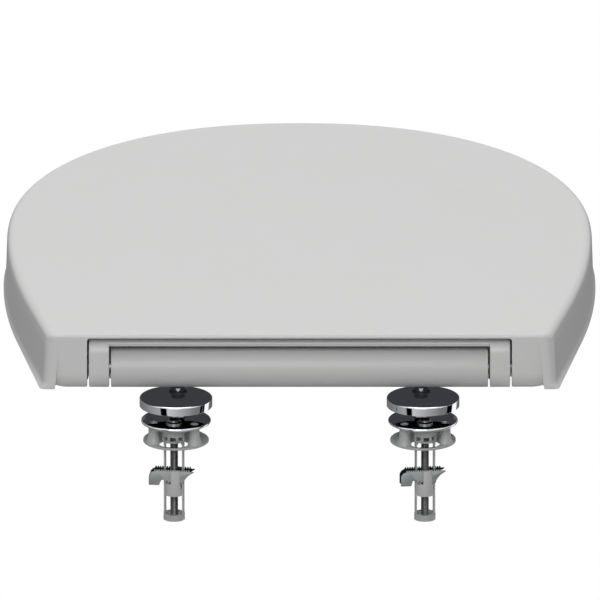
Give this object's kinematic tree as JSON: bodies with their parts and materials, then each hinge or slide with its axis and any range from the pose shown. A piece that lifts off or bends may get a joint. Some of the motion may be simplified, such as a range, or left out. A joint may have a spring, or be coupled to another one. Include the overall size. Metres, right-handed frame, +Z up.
{
  "type": "toilet seat",
  "caption": "D-shaped wrap-over toilet seat and lid on a round hinge bar, with polished top-fix fittings on toggle bolts, shown from its hinge side.",
  "frame": {"origin": "midway between the two fixing bolts, on the underside of the foot washers, where the ceramic lies", "axes": "+X across to the right as seen from behind, +Y from the hinge to the front of the seat, +Z up"},
  "size_m": [0.37, 0.4582, 0.1172],
  "materials": {
    "lid_plastic": "smooth satin white",
    "seat_plastic": "smooth satin white",
    "bar_plastic": "satin white",
    "carrier_plastic": "satin light grey",
    "clear_grey": "milky, half clear",
    "chrome": "polished",
    "steel": "dark bright steel",
    "zinc": "satin",
    "toggle_metal": "satin die cast",
    "rubber": "matt black",
    "bush": "matt black",
    "buffer": "matt light grey"
  },
  "bodies": {
    "fixings": {"post_left": "chrome", "base_plate_left": "chrome", "foot_washer_left": "clear_grey", "sleeve_left": "clear_grey", "post_right": "chrome", "base_plate_right": "chrome", "foot_washer_right": "clear_grey", "sleeve_right": "clear_grey"},
    "hinge_bar": {"hinge_bar": "bar_plastic", "seat_damper": "zinc", "lid_damper": "zinc", "post_socket_left": "clear_grey", "post_socket_right": "clear_grey"},
    "seat": {"seat_ring": "seat_plastic", "seat_buffer_front_left": "buffer", "seat_buffer_front_right": "buffer", "seat_buffer_rear_left": "buffer", "seat_buffer_rear_right": "buffer", "seat_shaft": "zinc", "seat_bush": "bush"},
    "lid": {"lid": "lid_plastic", "lid_pad_left": "rubber", "lid_pad_right": "rubber", "lid_shaft": "zinc", "lid_bush": "bush"},
    "cap_left": {"cap_left": "chrome", "cap_seal_left": "rubber"},
    "bolt_left": {"bolt_left": "steel"},
    "carrier_left": {"carrier_left": "carrier_plastic", "toggle_pin_left": "steel"},
    "toggle_left": {"toggle_left": "toggle_metal"},
    "cap_right": {"cap_right": "chrome", "cap_seal_right": "rubber"},
    "bolt_right": {"bolt_right": "steel"},
    "carrier_right": {"carrier_right": "carrier_plastic", "toggle_pin_right": "steel"},
    "toggle_right": {"toggle_right": "toggle_metal"}
  },
  "joints": [
    {"name": "lift_off", "type": "slide", "parent": "fixings", "child": "hinge_bar", "axis": [0, 0, 1], "range_m": [0, 0.03]},
    {"name": "seat_lift", "type": "hinge", "parent": "hinge_bar", "child": "seat", "pos_m": [0, 0.0195, 0.0446], "axis": [-1, 0, 0], "range_deg": [-92, 0]},
    {"name": "lid_lift", "type": "hinge", "parent": "seat", "child": "lid", "pos_m": [0, 0.0195, 0.0446], "axis": [1, 0, 0], "range_deg": [0, 95]},
    {"name": "left_cap_slide", "type": "slide", "parent": "fixings", "child": "cap_left", "axis": [0, 0, 1], "range_m": [-0.01, 0]},
    {"name": "left_bolt_turn", "type": "hinge", "parent": "fixings", "child": "bolt_left", "pos_m": [-0.0775, 0, 0], "axis": [0, 0, 1], "range_deg": [-4510, 4510]},
    {"name": "left_carrier_slide", "type": "slide", "parent": "fixings", "child": "carrier_left", "axis": [0, 0, 1], "range_m": [-0.01, 0.01]},
    {"name": "left_toggle_tilt", "type": "hinge", "parent": "carrier_left", "child": "toggle_left", "pos_m": [-0.08137, 0.00047, -0.0226], "axis": [-0.1219, -0.9925, 0], "range_deg": [0, 50]},
    {"name": "right_cap_slide", "type": "slide", "parent": "fixings", "child": "cap_right", "axis": [0, 0, 1], "range_m": [-0.01, 0]},
    {"name": "right_bolt_turn", "type": "hinge", "parent": "fixings", "child": "bolt_right", "pos_m": [0.0775, 0, 0], "axis": [0, 0, 1], "range_deg": [-4510, 4510]},
    {"name": "right_carrier_slide", "type": "slide", "parent": "fixings", "child": "carrier_right", "axis": [0, 0, 1], "range_m": [-0.01, 0.01]},
    {"name": "right_toggle_tilt", "type": "hinge", "parent": "carrier_right", "child": "toggle_right", "pos_m": [0.07363, -0.00047, -0.0226], "axis": [0.1219, -0.9925, 0], "range_deg": [0, 50]}
  ],
  "couplings": [
    {"joint": "left_bolt_turn", "follows": "left_carrier_slide", "rad_per_m": -7854},
    {"joint": "right_bolt_turn", "follows": "right_carrier_slide", "rad_per_m": -7854}
  ]
}
